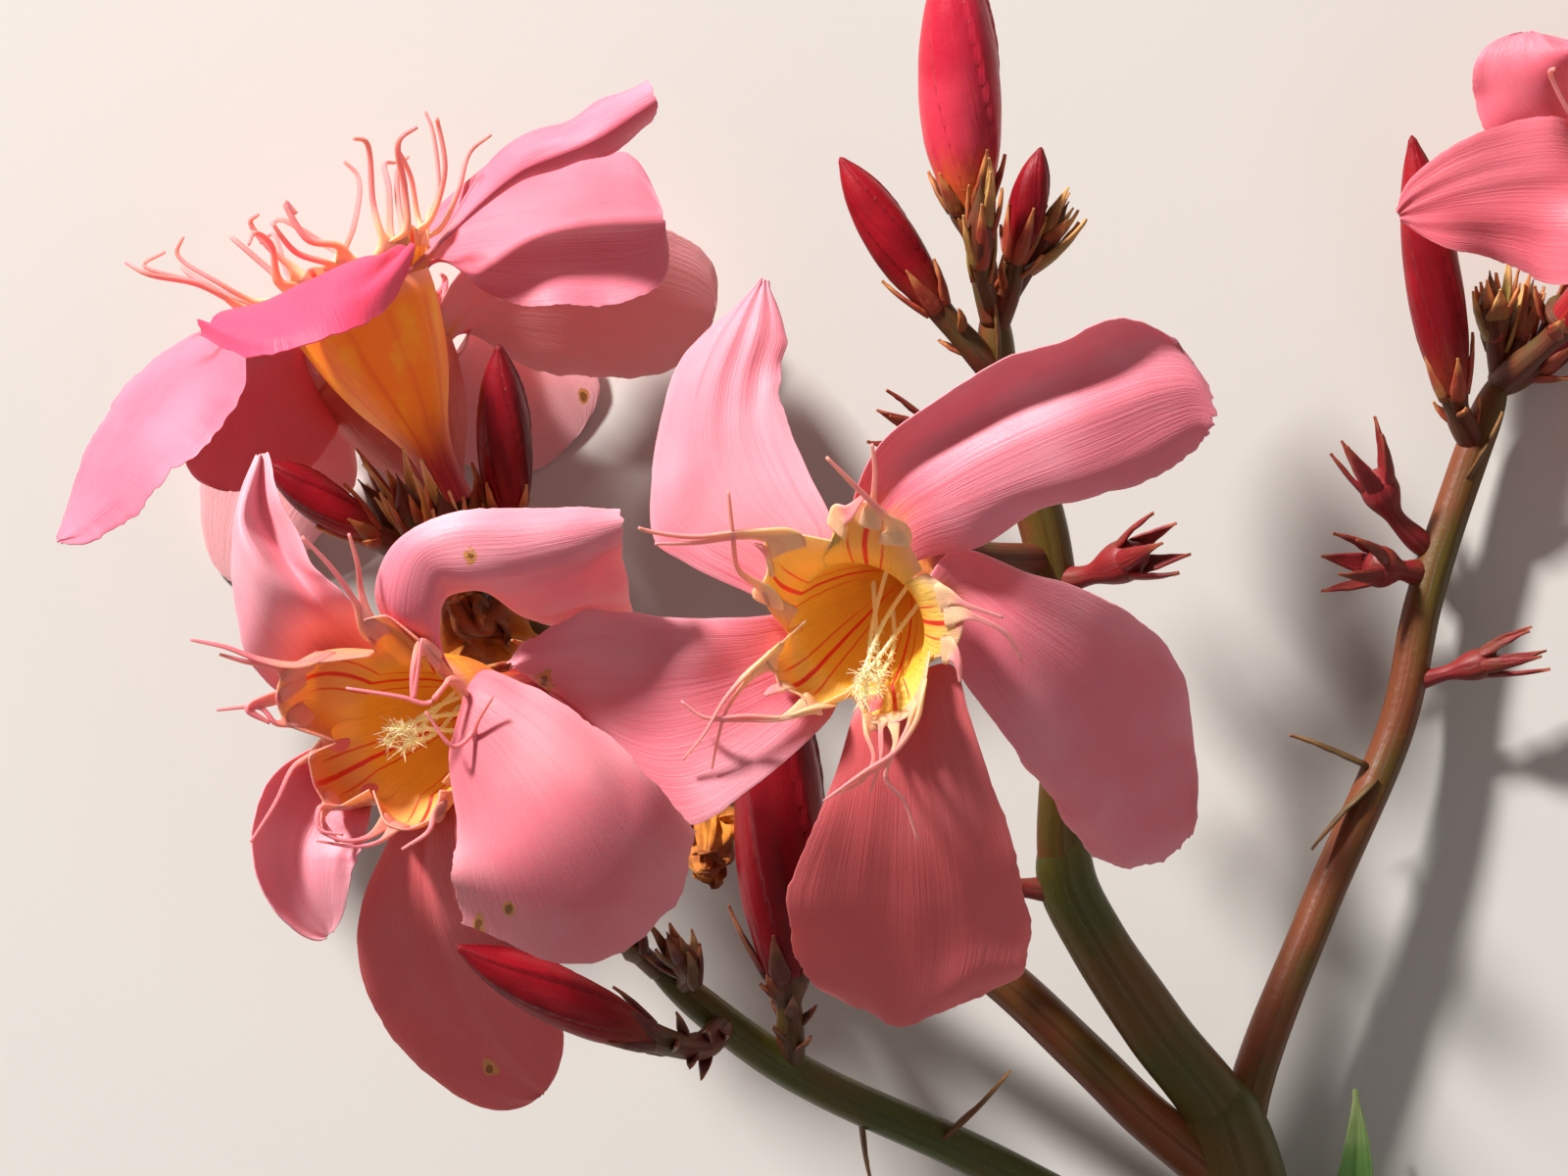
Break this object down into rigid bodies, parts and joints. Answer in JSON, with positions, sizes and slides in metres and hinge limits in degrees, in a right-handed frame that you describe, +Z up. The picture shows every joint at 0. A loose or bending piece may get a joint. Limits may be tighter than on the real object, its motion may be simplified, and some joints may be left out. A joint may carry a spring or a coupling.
{
  "type": "cut oleander flower spray",
  "caption": "Cut flowering spray of oleander lying on its side: open salmon-pink blooms, crimson buds and spent calyxes on thin forked stems.",
  "frame": {"origin": "middle of the spray's outline, on the plane it lies on", "axes": "+Z up from the floor, +X and +Y to the right and to the top of the picture, the main stem's cut end towards -Y"},
  "size_m": [0.1346, 0.1078, 0.0527],
  "materials": {
    "petals": "satin petals, salmon pink with a yellow-orange throat",
    "stem_bark": "satin green-brown young bark, flushed red",
    "stalk_skin": "satin reddish-brown stalk and calyx",
    "bud_skin": "satin crimson bud",
    "young_sepals": "satin brown-green sepals with orange tips",
    "spent_sepals": "matte dark red sepals",
    "dried_petals": "matte crumpled orange-brown dry petals",
    "leaf_blade": "satin grey-green leaf"
  },
  "bodies": {
    "root": {"bloom_front": "petals", "bloom_left": "petals", "bloom_upper": "petals", "bloom_back": "petals", "bloom_right": "petals", "main_stem": "stem_bark", "stem_middle_lower": "stem_bark", "stem_middle_upper": "stem_bark", "stem_right": "stem_bark", "stem_left": "stem_bark", "stem_low": "stem_bark", "stalk_front": "stalk_skin", "stalk_left": "stalk_skin", "stalk_upper": "stalk_skin", "stalk_back": "stalk_skin", "stalk_right": "stalk_skin", "bud_top_large": "bud_skin", "bud_top_side": "bud_skin", "bud_top_small": "bud_skin", "bud_left_dark": "bud_skin", "bud_left_red": "bud_skin", "bud_low_side": "bud_skin", "bud_low_large": "bud_skin", "bud_right_long": "bud_skin", "bud_right_dark": "bud_skin", "young_top_right": "young_sepals", "young_top_left": "young_sepals", "young_left_1": "young_sepals", "young_left_2": "young_sepals", "young_left_3": "young_sepals", "young_low_1": "young_sepals", "young_low_2": "young_sepals", "young_right_1": "young_sepals", "young_right_2": "young_sepals", "spent_right_1": "spent_sepals", "spent_right_2": "spent_sepals", "spent_right_3": "spent_sepals", "spent_middle": "spent_sepals", "spent_top": "spent_sepals", "spent_low": "spent_sepals", "dried_left": "dried_petals", "dried_low": "dried_petals", "leaf_low": "leaf_blade"}
  },
  "joints": []
}
